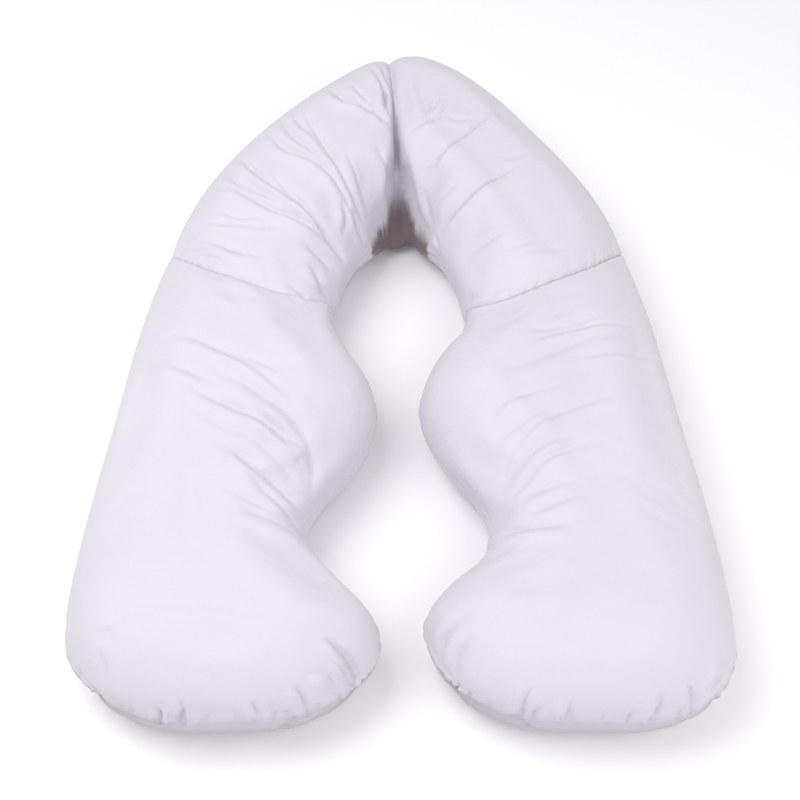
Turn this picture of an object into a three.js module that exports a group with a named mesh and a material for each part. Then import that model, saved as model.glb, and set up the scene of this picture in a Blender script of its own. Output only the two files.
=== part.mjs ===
// A full-body pregnancy pillow, lying flat in the shape of a narrow horseshoe.
// It is sewn from three stuffed sections: a head tube that folds sharply on itself at the crown,
// and two contoured arms, each with a belly lobe on its inner side, a knee waist and a rounded foot.
// Each section is one solid, and neighbours meet at a cross seam that draws the cloth in.
// Units are millimetres, +Z is up, +X is to the right and the crown points along +Y.
// The origin is under the middle of the pillow, on the surface that it lies on.
import * as THREE from "three";

// Driving dimensions
const SEAM_HEIGHT = 88; // the side seam's height above the surface
const TOP_REACH = 150; // how far in from the side seam the top has risen to its crown
const UNDERSIDE_REACH = 72; // how far in from the side seam the underside lies flat
const DOME_POWER = 2.2; // 2 makes a section's shoulder an ellipse, and more makes it fuller
const BOW_POWER = 3; // 2 bows a row as an arc, and more keeps its middle straighter
const CROSS_SEAM_GAP = 0.3; // between two sections at a cross seam
const CROSS_SEAM_DRAW = 17; // how deep a cross seam draws the top in
const CROSS_SEAM_REACH = 30; // how far from a cross seam the top has filled out again
const CROSS_SEAM_LIFT = 6; // how far a cross seam lifts the underside

// Mesh steps
const COLUMN_STEPS = 28; // across the top of a section
const COLUMN_CROWDING = 0.45; // how far the columns crowd towards the side seams
// The columns that the underside keeps.
const UNDERSIDE_COLUMNS = [0, 1, 2, 4, 6, 10, 18, 22, 24, 26, 27, 28];
const STEPS_PER_ROW = 5;
const CLOSE_ROWS = [0.04, 0.11]; // further rows close to either end of a section
const SEAM_STEPS_PER_ROW = 6;
const CREASE_STEPS = 10;
const PROBE_STEP = 0.01; // of a half row, to tell which way a row runs
const FADE_POWER = 0.6; // under 1 keeps a crease near its full depth for longer

const COTTON = { color: 0xf2f0f5, roughness: 0.85, metalness: 0 };

// Each row is a line across a section, from the outer side seam to the inner one.
// crown is the height at its middle, and bow is how far its middle lies towards the feet.
const LEFT_ARM = [
  { outerX: -405, outerY: 193, innerX: -118, innerY: 78, crown: 182, bow: 66 },
  { outerX: -425, outerY: 100, innerX: -106, innerY: 20, crown: 188, bow: 52 },
  { outerX: -437, outerY: 10, innerX: -80, innerY: -36, crown: 192, bow: 34 },
  { outerX: -446, outerY: -80, innerX: -48, innerY: -98, crown: 194, bow: 18 },
  { outerX: -452, outerY: -160, innerX: -38, innerY: -165, crown: 194, bow: 6 },
  { outerX: -460, outerY: -240, innerX: -62, innerY: -238, crown: 191, bow: 0 },
  { outerX: -468, outerY: -310, innerX: -110, innerY: -310, crown: 187, bow: 0 },
  { outerX: -474, outerY: -365, innerX: -138, innerY: -362, crown: 184, bow: 0 },
  { outerX: -478, outerY: -410, innerX: -140, innerY: -404, crown: 184, bow: 2 },
  { outerX: -481, outerY: -452, innerX: -118, innerY: -446, crown: 186, bow: 8 },
  { outerX: -484, outerY: -500, innerX: -78, innerY: -494, crown: 189, bow: 18 },
  { outerX: -483, outerY: -550, innerX: -36, innerY: -542, crown: 190, bow: 32 },
  { outerX: -470, outerY: -602, innerX: -32, innerY: -598, crown: 190, bow: 45 },
  { outerX: -432, outerY: -648, innerX: -66, innerY: -644, crown: 190, bow: 63 },
];
const RIGHT_ARM = [
  { outerX: 394, outerY: 200, innerX: 112, innerY: 62, crown: 182, bow: 62 },
  { outerX: 413, outerY: 100, innerX: 98, innerY: 10, crown: 188, bow: 50 },
  { outerX: 428, outerY: 10, innerX: 66, innerY: -36, crown: 192, bow: 32 },
  { outerX: 437, outerY: -80, innerX: 40, innerY: -96, crown: 194, bow: 16 },
  { outerX: 445, outerY: -160, innerX: 32, innerY: -160, crown: 194, bow: 6 },
  { outerX: 454, outerY: -240, innerX: 64, innerY: -240, crown: 191, bow: 0 },
  { outerX: 464, outerY: -310, innerX: 108, innerY: -308, crown: 187, bow: 0 },
  { outerX: 470, outerY: -362, innerX: 134, innerY: -360, crown: 184, bow: 0 },
  { outerX: 474, outerY: -408, innerX: 132, innerY: -404, crown: 184, bow: 2 },
  { outerX: 477, outerY: -450, innerX: 116, innerY: -446, crown: 186, bow: 8 },
  { outerX: 480, outerY: -500, innerX: 70, innerY: -488, crown: 189, bow: 18 },
  { outerX: 482, outerY: -552, innerX: 36, innerY: -540, crown: 190, bow: 32 },
  { outerX: 476, outerY: -606, innerX: 46, innerY: -594, crown: 190, bow: 44 },
  { outerX: 446, outerY: -658, innerX: 82, innerY: -648, crown: 190, bow: 56 },
];
// The head runs from the left cross seam, over the fold at x = 0, to the right cross seam.
const HEAD = [
  { outerX: -405, outerY: 193, innerX: -118, innerY: 78, crown: 182, bow: 66 },
  { outerX: -391, outerY: 268, innerX: -108, innerY: 112, crown: 192, bow: 58 },
  { outerX: -361, outerY: 356, innerX: -99, innerY: 146, crown: 198, bow: 42 },
  { outerX: -317, outerY: 440, innerX: -86, innerY: 184, crown: 202, bow: 24 },
  { outerX: -263, outerY: 518, innerX: -71, innerY: 220, crown: 206, bow: 8 },
  { outerX: -200, outerY: 592, innerX: -55, innerY: 249, crown: 210, bow: -4 },
  { outerX: -131, outerY: 660, innerX: -40, innerY: 277, crown: 212, bow: -4 },
  { outerX: -62, outerY: 716, innerX: -24, innerY: 302, crown: 210, bow: -2 },
  { outerX: 0, outerY: 732, innerX: 0, innerY: 318, crown: 204, bow: 0 },
  { outerX: 72, outerY: 718, innerX: 24, innerY: 302, crown: 212, bow: -2 },
  { outerX: 140, outerY: 668, innerX: 38, innerY: 275, crown: 212, bow: -4 },
  { outerX: 202, outerY: 596, innerX: 55, innerY: 246, crown: 210, bow: -4 },
  { outerX: 255, outerY: 516, innerX: 71, innerY: 215, crown: 206, bow: 8 },
  { outerX: 306, outerY: 436, innerX: 84, innerY: 178, crown: 202, bow: 24 },
  { outerX: 350, outerY: 354, innerX: 96, innerY: 138, crown: 198, bow: 40 },
  { outerX: 380, outerY: 272, innerX: 105, innerY: 98, crown: 192, bow: 54 },
  { outerX: 394, outerY: 200, innerX: 112, innerY: 62, crown: 182, bow: 62 },
];

// Troughs in the top where the cloth creases, each from one point through a second to a third.
// depth is its depth midway, and half is its half width. It fades out towards both ends.
const LEFT_HEAD_CREASES = [
  { fromX: -290, fromY: 370, viaX: -250, viaY: 310, toX: -200, toY: 250, depth: 6, half: 16 },
  { fromX: -325, fromY: 305, viaX: -220, viaY: 230, toX: -110, toY: 170, depth: 11, half: 14 },
  { fromX: -240, fromY: 325, viaX: -170, viaY: 240, toX: -105, toY: 175, depth: 9, half: 14 },
  { fromX: -165, fromY: 430, viaX: -125, viaY: 360, toX: -70, toY: 280, depth: 10, half: 15 },
  { fromX: -195, fromY: 405, viaX: -160, viaY: 365, toX: -115, toY: 315, depth: 6, half: 14 },
  { fromX: -335, fromY: 240, viaX: -285, viaY: 215, toX: -230, toY: 205, depth: 7, half: 18 },
  { fromX: -345, fromY: 170, viaX: -295, viaY: 145, toX: -240, toY: 120, depth: 6, half: 16 },
  { fromX: -110, fromY: 565, viaX: -60, viaY: 495, toX: -10, toY: 440, depth: 15, half: 14 },
];
const RIGHT_HEAD_CREASES = [
  { fromX: 100, fromY: 515, viaX: 85, viaY: 480, toX: 45, toY: 435, depth: 9, half: 14 },
  { fromX: 190, fromY: 510, viaX: 115, viaY: 395, toX: 35, toY: 340, depth: 8, half: 16 },
  { fromX: 70, fromY: 220, viaX: 145, viaY: 265, toX: 220, toY: 340, depth: 11, half: 14 },
  { fromX: 140, fromY: 160, viaX: 185, viaY: 165, toX: 225, toY: 165, depth: 6, half: 18 },
  { fromX: 200, fromY: 120, viaX: 245, viaY: 135, toX: 285, toY: 150, depth: 6, half: 16 },
];
const LEFT_ARM_CREASES = [
  { fromX: -390, fromY: -50, viaX: -300, viaY: -85, toX: -175, toY: -150, depth: 8, half: 17 },
  { fromX: -410, fromY: -90, viaX: -350, viaY: -130, toX: -275, toY: -170, depth: 7, half: 16 },
  { fromX: -315, fromY: -120, viaX: -215, viaY: -190, toX: -130, toY: -290, depth: 10, half: 16 },
  { fromX: -330, fromY: -180, viaX: -230, viaY: -230, toX: -140, toY: -300, depth: 9, half: 16 },
  { fromX: -290, fromY: -260, viaX: -215, viaY: -320, toX: -145, toY: -380, depth: 10, half: 16 },
  { fromX: -245, fromY: -385, viaX: -200, viaY: -405, toX: -145, toY: -410, depth: 10, half: 16 },
];
const RIGHT_ARM_CREASES = [
  { fromX: 180, fromY: -60, viaX: 265, viaY: -45, toX: 355, toY: -10, depth: 8, half: 17 },
  { fromX: 130, fromY: -150, viaX: 250, viaY: -100, toX: 390, toY: -10, depth: 9, half: 16 },
  { fromX: 130, fromY: -285, viaX: 180, viaY: -245, toX: 260, toY: -205, depth: 8, half: 16 },
  { fromX: 145, fromY: -350, viaX: 200, viaY: -295, toX: 270, toY: -260, depth: 9, half: 16 },
  { fromX: 150, fromY: -385, viaX: 215, viaY: -360, toX: 275, toY: -345, depth: 8, half: 15 },
  { fromX: 140, fromY: -410, viaX: 195, viaY: -430, toX: 265, toY: -430, depth: 11, half: 16 },
];
const FOOT_CREASES = [
  { fromX: -120, fromY: -600, viaX: -75, viaY: -630, toX: -35, toY: -645, depth: 13, half: 14 },
  { fromX: -210, fromY: -650, viaX: -190, viaY: -680, toX: -170, toY: -715, depth: 13, half: 14 },
  { fromX: 105, fromY: -565, viaX: 70, viaY: -590, toX: 35, toY: -605, depth: 13, half: 14 },
  { fromX: 205, fromY: -645, viaX: 175, viaY: -680, toX: 150, toY: -710, depth: 13, half: 14 },
  { fromX: 360, fromY: -655, viaX: 355, viaY: -685, toX: 345, toY: -715, depth: 12, half: 14 },
];
const CREASES = [
  ...LEFT_HEAD_CREASES,
  ...RIGHT_HEAD_CREASES,
  ...LEFT_ARM_CREASES,
  ...RIGHT_ARM_CREASES,
  ...FOOT_CREASES,
];

// The fold at the crown, where the two sides of the head press together.
// It runs from the inner seam up over the crown. floor is half the width of the hollow there.
const FOLD = [
  { x: 0, y: 300, depth: 156, floor: 38 },
  { x: 0, y: 330, depth: 156, floor: 20 },
  { x: 0, y: 360, depth: 158, floor: 6 },
  { x: 0, y: 400, depth: 148, floor: 1 },
  { x: 5, y: 430, depth: 115, floor: 0 },
  { x: -5, y: 460, depth: 84, floor: 0 },
  { x: -15, y: 490, depth: 46, floor: 0 },
  { x: -20, y: 540, depth: 20, floor: 0 },
  { x: -10, y: 630, depth: 8, floor: 0 },
  { x: 0, y: 740, depth: 4, floor: 0 },
];
const FOLD_REACH = 24; // how far from the hollow its steep sides have risen again
const FOLD_ROUNDING = 20; // how far the sides round off above it
const FOLD_ROUNDING_REACH = 62;
const FOLD_SEAM_DROP = 66; // how far the side seam sinks where the fold pinches it
const FOLD_SEAM_DROP_REACH = 60;

// A smooth curve through one column of a table, at a row number that may fall between rows.
function column(table, name, row) {
  const last = table.length - 1;
  const index = Math.min(Math.floor(row), last - 1);
  const at = (k) => table[Math.max(0, Math.min(last, k))][name];
  const slope = (k) => (at(k + 1) - at(k - 1)) / (k <= 0 || k >= last ? 1 : 2);
  const t = row - index;
  const ease = t * t * (3 - 2 * t);
  const leaving = slope(index) * t * (1 - t) * (1 - t);
  const arriving = slope(index + 1) * t * t * (1 - t);
  return at(index) * (1 - ease) + at(index + 1) * ease + leaving - arriving;
}

// A point in plan on a row's line. across is -1 at the outer side seam and 1 at the inner one.
function planPoint(table, row, across) {
  const share = (1 + across) / 2;
  const at = (name) => column(table, name, row);
  const mix = (outer, inner) => at(outer) * (1 - share) + at(inner) * share;
  const bow = at("bow") * (1 - Math.abs(across) ** BOW_POWER);
  return new THREE.Vector2(mix("outerX", "innerX"), mix("outerY", "innerY") - bow);
}

// Even steps from one number to another, with both ends in.
function steps(from, to, count) {
  return Array.from({ length: count + 1 }, (_, k) => from + ((to - from) * k) / count);
}

const COLUMNS = steps(-1, 1, COLUMN_STEPS).map(
  (even) => even + COLUMN_CROWDING * (Math.sin((even * Math.PI) / 2) - even),
);

// The side seams of a section, and the seam round its foot where it has one.
function sideSeams(table, hasFoot) {
  const last = table.length - 1;
  const rows = steps(0, last, last * SEAM_STEPS_PER_ROW);
  const seams = [-1, 1].map((across) => rows.map((row) => planPoint(table, row, across)));
  if (hasFoot) seams.push(COLUMNS.map((across) => planPoint(table, last, across)));
  return seams;
}

const SIDE_SEAMS = [
  ...sideSeams(LEFT_ARM, true),
  ...sideSeams(RIGHT_ARM, true),
  ...sideSeams(HEAD, false),
];
const CROSS_SEAMS = [LEFT_ARM, RIGHT_ARM].map((table) =>
  COLUMNS.map((across) => planPoint(table, 0, across)),
);

// How far a point is from a line of points, and how far along it the nearest place is as a share.
function nearest(line, point) {
  let best = { distance: Infinity, share: 0 };
  for (let k = 0; k + 1 < line.length; k += 1) {
    const along = line[k + 1].clone().sub(line[k]);
    const reach = point.clone().sub(line[k]);
    const t = Math.max(0, Math.min(1, reach.dot(along) / along.lengthSq()));
    const distance = reach.sub(along.multiplyScalar(t)).length();
    if (distance < best.distance) best = { distance, share: (k + t) / (line.length - 1) };
  }
  return best;
}

function distanceTo(lines, point) {
  return Math.min(...lines.map((line) => nearest(line, point).distance));
}

// A rounded rise from 0 to 1 as a distance grows to its reach.
function dome(distance, reach) {
  return Math.sqrt(1 - (1 - Math.min(1, distance / reach)) ** DOME_POWER);
}

function throughThree({ fromX, fromY, viaX, viaY, toX, toY }) {
  const plan = [[fromX, fromY], [viaX, viaY], [toX, toY]];
  const curve = new THREE.SplineCurve(plan.map(([x, y]) => new THREE.Vector2(x, y)));
  return curve.getPoints(CREASE_STEPS);
}

const CREASE_LINES = CREASES.map((crease) => ({ ...crease, line: throughThree(crease) }));
const FOLD_LINE = FOLD.map(({ x, y }) => new THREE.Vector2(x, y));

// A smooth step down from 1 on a trough's line to 0 far from it.
function trough(distance, half) {
  return Math.exp(-((distance / half) ** 2));
}

// How deep the fold is at a point.
function foldDepth(point) {
  const { distance, share } = nearest(FOLD_LINE, point);
  const place = share * (FOLD.length - 1);
  const index = Math.min(Math.floor(place), FOLD.length - 2);
  const [here, next] = [FOLD[index], FOLD[index + 1]];
  const mix = (name) => here[name] + (next[name] - here[name]) * (place - index);
  const slit = mix("depth") * (1 - dome(Math.max(0, distance - mix("floor")), FOLD_REACH));
  return slit + FOLD_ROUNDING * (1 - dome(distance, FOLD_ROUNDING_REACH));
}

// How deep the creases and the fold are at a point.
function creaseDepth(point) {
  const creases = CREASE_LINES.reduce((sum, { line, depth, half }) => {
    const { distance, share } = nearest(line, point);
    return sum + depth * Math.sin(Math.PI * share) ** FADE_POWER * trough(distance, half);
  }, 0);
  return creases + foldDepth(point);
}

// The heights of the top and the underside at a point in plan.
function heights(point, crown) {
  const inward = distanceTo(SIDE_SEAMS, point);
  const drawn = 1 - dome(distanceTo(CROSS_SEAMS, point), CROSS_SEAM_REACH);
  const rise = dome(inward, TOP_REACH);
  const fall = dome(inward, UNDERSIDE_REACH);
  const pinch = trough(point.distanceTo(FOLD_LINE[0]), FOLD_SEAM_DROP_REACH);
  const seam = SEAM_HEIGHT - FOLD_SEAM_DROP * pinch;
  const full = (crown - seam - drawn * CROSS_SEAM_DRAW - creaseDepth(point)) * rise;
  return {
    top: seam + full,
    under: seam * (1 - fall) + drawn * CROSS_SEAM_LIFT * fall,
  };
}

// Triangles between two lines of corners that run side by side.
function zip(first, second) {
  const triangles = [];
  let [a, b] = [0, 0];
  while (a < first.length - 1 || b < second.length - 1) {
    const nextA = a < first.length - 1 ? first[a + 1].across : Infinity;
    const nextB = b < second.length - 1 ? second[b + 1].across : Infinity;
    if (nextA <= nextB) {
      triangles.push([first[a].id, first[a + 1].id, second[b].id]);
      a += 1;
    } else {
      triangles.push([first[a].id, second[b + 1].id, second[b].id]);
      b += 1;
    }
  }
  return triangles.filter(([p, q, r]) => p !== q && q !== r && r !== p);
}

function rowNumbers(table) {
  const last = table.length - 1;
  const close = CLOSE_ROWS.flatMap((step) => [step, last - step]);
  return [...steps(0, last, last * STEPS_PER_ROW), ...close].sort((p, q) => p - q);
}

// One stuffed section, closed by a wall at each cross seam or by the seam round its foot.
function section(table, hasFoot) {
  const last = table.length - 1;
  const positions = [];
  const corner = (plan, height, across) => {
    positions.push(plan.x, plan.y, height);
    return { id: positions.length / 3 - 1, across };
  };
  const top = [];
  const under = [];
  for (const row of rowNumbers(table)) {
    const isFoot = hasFoot && row === last;
    const isWall = row === 0 || (row === last && !hasFoot);
    const crown = column(table, "crown", row);
    const topRow = [];
    const underRow = [];
    COLUMNS.forEach((across, k) => {
      const plan = planPoint(table, row, across);
      const { top: topHeight, under: underHeight } = heights(plan, crown);
      if (isWall) plan.add(wallShift(table, row, across));
      const upper = corner(plan, topHeight, across);
      topRow.push(upper);
      const shared = isFoot || k === 0 || k === COLUMN_STEPS;
      if (shared) underRow.push(upper);
      else if (UNDERSIDE_COLUMNS.includes(k)) underRow.push(corner(plan, underHeight, across));
    });
    top.push(topRow);
    under.push(underRow);
  }
  const triangles = [];
  for (let k = 0; k + 1 < top.length; k += 1) {
    triangles.push(...zip(top[k], top[k + 1]), ...zip(under[k + 1], under[k]));
  }
  triangles.push(...zip(under[0], top[0]));
  if (!hasFoot) triangles.push(...zip(top[top.length - 1], under[under.length - 1]));
  return closedGeometry(positions, triangles);
}

// Half the gap at a cross seam, away from the seam and into the section.
function wallShift(table, row, across) {
  const inwardRow = row === 0 ? CLOSE_ROWS[0] : row - CLOSE_ROWS[0];
  const ahead = planPoint(table, row, across + PROBE_STEP);
  const along = ahead.sub(planPoint(table, row, across - PROBE_STEP));
  const inward = planPoint(table, inwardRow, across).sub(planPoint(table, row, across));
  const normal = new THREE.Vector2(-along.y, along.x).normalize();
  return normal.multiplyScalar((Math.sign(normal.dot(inward)) * CROSS_SEAM_GAP) / 2);
}

// A geometry from corners and triangles, with its faces turned outward.
function closedGeometry(positions, triangles) {
  const at = (id) => new THREE.Vector3(...positions.slice(3 * id, 3 * id + 3));
  const volume = triangles.reduce((sum, [a, b, c]) => sum + at(a).dot(at(b).cross(at(c))), 0);
  const outward = volume < 0 ? triangles.map(([a, b, c]) => [a, c, b]) : triangles;
  const geometry = new THREE.BufferGeometry();
  geometry.setAttribute("position", new THREE.Float32BufferAttribute(positions, 3));
  geometry.setIndex(outward.flat());
  geometry.computeVertexNormals();
  return geometry;
}

function cottonPiece(name, geometry) {
  const mesh = new THREE.Mesh(geometry, new THREE.MeshStandardMaterial(COTTON));
  mesh.name = name;
  return mesh;
}

const pillow = new THREE.Group();
pillow.name = "pregnancy_pillow";
pillow.add(cottonPiece("head_section", section(HEAD, false)));
pillow.add(cottonPiece("left_arm", section(LEFT_ARM, true)));
pillow.add(cottonPiece("right_arm", section(RIGHT_ARM, true)));

// The tables are drawn from a point close to the middle, and this puts the origin right under it.
const middle = new THREE.Box3().setFromObject(pillow).getCenter(new THREE.Vector3());
pillow.children.forEach((mesh) => mesh.geometry.translate(-middle.x, -middle.y, 0));

export default pillow;
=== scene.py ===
"""A full-body pregnancy pillow of white cotton, lying flat, in the shape of a narrow horseshoe.

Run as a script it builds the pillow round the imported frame. The cloth's sizes are in millimetres
until a mesh is made, and those of the materials and the stage are in metres. +Y points from the
feet to the folded crown.
"""
import math
import random
from collections import namedtuple

import bmesh
import bpy
import numpy as np
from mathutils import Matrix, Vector


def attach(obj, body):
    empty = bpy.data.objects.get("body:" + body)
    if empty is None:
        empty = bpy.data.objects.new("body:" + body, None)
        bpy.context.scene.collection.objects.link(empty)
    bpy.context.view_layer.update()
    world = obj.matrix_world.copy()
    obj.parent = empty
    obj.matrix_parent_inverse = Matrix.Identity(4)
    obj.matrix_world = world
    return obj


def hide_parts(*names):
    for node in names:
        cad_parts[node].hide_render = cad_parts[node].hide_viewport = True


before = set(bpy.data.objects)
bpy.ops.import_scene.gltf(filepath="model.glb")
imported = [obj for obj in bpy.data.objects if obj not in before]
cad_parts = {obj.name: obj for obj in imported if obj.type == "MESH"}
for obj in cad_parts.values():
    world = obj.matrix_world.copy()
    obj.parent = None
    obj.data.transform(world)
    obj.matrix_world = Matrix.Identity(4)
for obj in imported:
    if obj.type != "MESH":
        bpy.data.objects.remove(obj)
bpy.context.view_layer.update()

bl_info = {
    "name": "Pregnancy Pillow",
    "version": (1, 0, 0),
    "blender": (4, 5, 0),
    "location": "3D View > Sidebar > Pillow",
    "description": "Builds a full-body pregnancy pillow of white cotton",
    "category": "Object",
}

MM = 0.001

# A line across the pillow from its outer side seam to its inner one. crown is the height at its
# middle, and bow is how far its middle lies towards the feet.
Row = namedtuple("Row", "outer_x outer_y inner_x inner_y crown bow")
LEFT_ARM_ROWS = (
    Row(-432, -648, -66, -644, 190, 58),
    Row(-470, -602, -32, -598, 190, 45),
    Row(-483, -550, -36, -542, 190, 32),
    Row(-484, -500, -78, -494, 189, 18),
    Row(-481, -452, -118, -446, 186, 8),
    Row(-478, -410, -140, -404, 184, 2),
    Row(-474, -365, -138, -362, 184, 0),
    Row(-468, -310, -110, -310, 187, 0),
    Row(-460, -240, -62, -238, 191, 0),
    Row(-452, -160, -38, -165, 194, 6),
    Row(-446, -80, -48, -98, 194, 18),
    Row(-437, 10, -80, -36, 192, 34),
    Row(-425, 100, -106, 20, 188, 52),
)
HEAD_ROWS = (
    Row(-405, 193, -118, 78, 182, 66),
    Row(-391, 268, -108, 112, 192, 58),
    Row(-361, 356, -99, 146, 198, 42),
    Row(-317, 440, -86, 184, 202, 24),
    Row(-263, 518, -71, 220, 206, 8),
    Row(-200, 592, -55, 249, 210, -4),
    Row(-131, 660, -40, 277, 212, -4),
    Row(-78, 706, -24, 300, 210, -2),
    Row(-24, 729, 0, 308, 204, 0),
    Row(54, 724, 22, 314, 212, -2),
    Row(132, 675, 38, 276, 212, -4),
    Row(202, 596, 55, 246, 210, -4),
    Row(255, 516, 71, 215, 206, 8),
    Row(306, 436, 84, 178, 202, 24),
    Row(350, 354, 96, 138, 198, 40),
    Row(380, 272, 105, 98, 192, 54),
    Row(394, 200, 112, 62, 182, 62),
)
RIGHT_ARM_ROWS = (
    Row(413, 100, 98, 10, 188, 50),
    Row(428, 10, 66, -36, 192, 32),
    Row(437, -80, 40, -96, 194, 16),
    Row(445, -160, 32, -160, 194, 6),
    Row(454, -240, 64, -240, 191, 0),
    Row(464, -310, 108, -308, 187, 0),
    Row(470, -362, 134, -360, 184, 0),
    Row(474, -408, 132, -404, 184, 2),
    Row(477, -450, 116, -446, 186, 8),
    Row(480, -500, 70, -488, 189, 18),
    Row(482, -552, 36, -540, 190, 32),
    Row(476, -606, 46, -594, 190, 44),
    Row(446, -658, 82, -648, 190, 51),
)
ROWS = np.array(LEFT_ARM_ROWS + HEAD_ROWS + RIGHT_ARM_ROWS, dtype=float)
LEFT_SEAM_ROW = len(LEFT_ARM_ROWS)
RIGHT_SEAM_ROW = LEFT_SEAM_ROW + len(HEAD_ROWS) - 1
LAST_ROW = len(ROWS) - 1
OUTER_SEAM, INNER_SEAM = slice(0, 2), slice(2, 4)  # columns of ROWS with x and y
CROWN, BOW = Row._fields.index("crown"), Row._fields.index("bow")
FOLD_ROW = (LEFT_SEAM_ROW + RIGHT_SEAM_ROW) / 2
FOLD_ROWS = 1.5  # the fold holds the seam this many rows to either side

# The fold at the crown, from the inner seam up over it. floor is half the hollow's width.
FoldPoint = namedtuple("FoldPoint", "x y depth floor")
FOLD = np.array(
    (
        FoldPoint(0, 265, 150, 52),
        FoldPoint(0, 300, 156, 42),
        FoldPoint(0, 330, 150, 24),
        FoldPoint(-2, 360, 130, 15),
        FoldPoint(-5, 400, 80, 4),
        FoldPoint(-7, 430, 65, 1),
        FoldPoint(-9, 460, 48, 0),
        FoldPoint(-10, 490, 34, 0),
        FoldPoint(-13, 540, 20, 0),
        FoldPoint(-18, 630, 9, 0),
        FoldPoint(-24, 740, 6, 0),
    ),
    dtype=float,
)
FOLD_REACH = 8.5  # width of either wall of the fold
FOLD_ROUNDING = 16.0  # how far the cloth sinks towards the fold, outside its walls
FOLD_ROUNDING_REACH = 46.0
FOLD_SHADE_START = 90.0  # from this depth on, painted shade darkens the cloth between the two sides of the fold
FOLD_SHADE_RANGE = 50.0
FOLD_SHADE_UNDER = 40.0  # this far in from the inner seam the underside gets the same painted shade
FOOT_SHADE = 0.55  # how much painted shade darkens the cloth under the feet's seam
FOOT_SHADE_REACH = 80.0
PINCH = (0.0, 300.0)  # where the inner seam passes under the fold
PINCH_SEAM_DROP = 66.0  # how much lower it lies there
PINCH_REACH = 60.0
FOOT_MIDDLES = ((-255.0, -704.0), (265.0, -703.0))
FOOT_SEAM_LIFT = 14.0  # how much higher the side seam lies there
FOOT_LIFT_REACH = 110.0

SEAM_HEIGHT = 88.0  # of the side seam, above the surface that the pillow lies on
TOP_REACH = 150.0  # this far in from the side seam the top has risen to its crown
UNDERSIDE_REACH = 72.0  # this far in the underside has come down to the surface
DOME_POWER = 2.2
BOW_POWER = 3.0
CROSS_SEAM_DRAW = 6.0  # how far the top sinks towards a cross seam
CROSS_SEAM_REACH = 28.0
CROSS_SEAM_LIFT = 6.0  # how far the underside rises towards it
CROSS_SEAM_GAP = 0.3

STEPS_PER_ROW = 6  # cloth steps between two rows of the table
TOP_COLUMNS = 32  # cloth steps across the top
UNDER_COLUMNS = 32
PROFILE_SAMPLES = 161  # points in which a row's line is measured, to space its steps evenly
CROSS_SEAM_SAMPLES = 41


# Shape of the stuffed cover

def between(table, places):
    """A table's values at places that may fall between two of its rows, on smooth curves."""
    last = len(table) - 1
    index = np.minimum(np.floor(places).astype(int), last - 1)
    t = (places - index)[:, None]
    at = lambda k: table[np.clip(k, 0, last)]
    span = lambda k: np.where((k <= 0) | (k >= last), 1.0, 2.0)[:, None]
    slope = lambda k: (at(k + 1) - at(k - 1)) / span(k)
    ease = t * t * (3 - 2 * t)
    leaving = slope(index) * t * (1 - t) ** 2
    arriving = slope(index + 1) * t * t * (1 - t)
    return at(index) * (1 - ease) + at(index + 1) * ease + leaving - arriving


def plan_points(values, across):
    """Points in plan on the rows' lines. across is -1 at the outer seam and 1 at the inner one."""
    share = (1 + across) / 2
    outer, inner = values[:, None, OUTER_SEAM], values[:, None, INNER_SEAM]
    points = outer * (1 - share[..., None]) + inner * share[..., None]
    points[..., 1] -= values[:, None, BOW] * (1 - np.abs(across) ** BOW_POWER)
    return points


def nearest(line, points):
    """How far points are from a line of points, and how far along it, counted in its points."""
    start, along = line[:-1], np.diff(line, axis=0)
    best = np.full(len(points), np.inf)
    place = np.zeros(len(points))
    for k in range(len(along)):
        reach = points - start[k]
        t = np.clip(reach @ along[k] / (along[k] @ along[k]), 0, 1)
        distance = np.linalg.norm(reach - t[:, None] * along[k], axis=1)
        closer = distance < best
        best[closer] = distance[closer]
        place[closer] = k + t[closer]
    return best, place


def dome(distance, reach):
    """A rounded rise from 0 to 1 as a distance grows to its reach."""
    return np.sqrt(np.maximum(0, 1 - (1 - np.minimum(1, distance / reach)) ** DOME_POWER))


def bell(distance, reach):
    """A soft fall from 1 at no distance to about a third at its reach."""
    return np.exp(-((distance / reach) ** 2))


def fold_depth(points):
    """How far the top is drawn down in the fold at the crown, over points in plan."""
    from_fold, place = nearest(FOLD[:, :2], points)
    depth, floor = (np.interp(place, np.arange(len(FOLD)), column) for column in FOLD[:, 2:].T)
    slit = depth * (1 - dome(np.maximum(0, from_fold - floor), FOLD_REACH))
    return slit + FOLD_ROUNDING * (1 - dome(from_fold, FOLD_ROUNDING_REACH))


def seam_heights(points):
    """Heights of the side seam: lower where it passes under the fold, and higher at the feet."""
    near = lambda place, reach: bell(np.linalg.norm(points - place, axis=1), reach)
    lift = sum(near(middle, FOOT_LIFT_REACH) for middle in FOOT_MIDDLES)
    return SEAM_HEIGHT - PINCH_SEAM_DROP * near(PINCH, PINCH_REACH) + FOOT_SEAM_LIFT * lift


def section_heights(points, crown):
    """Heights of the top and the underside over points in plan."""
    inward = np.min([nearest(line, points)[0] for line in SIDE_SEAMS], axis=0)
    to_cross_seam = np.min([nearest(line, points)[0] for line in CROSS_SEAMS], axis=0)
    drawn = 1 - dome(to_cross_seam, CROSS_SEAM_REACH)
    rise, fall = dome(inward, TOP_REACH), dome(inward, UNDERSIDE_REACH)
    seam = seam_heights(points)
    top = seam + (crown - seam - drawn * CROSS_SEAM_DRAW - fold_depth(points)) * rise
    return top, seam * (1 - fall) + drawn * CROSS_SEAM_LIFT * fall


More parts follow.
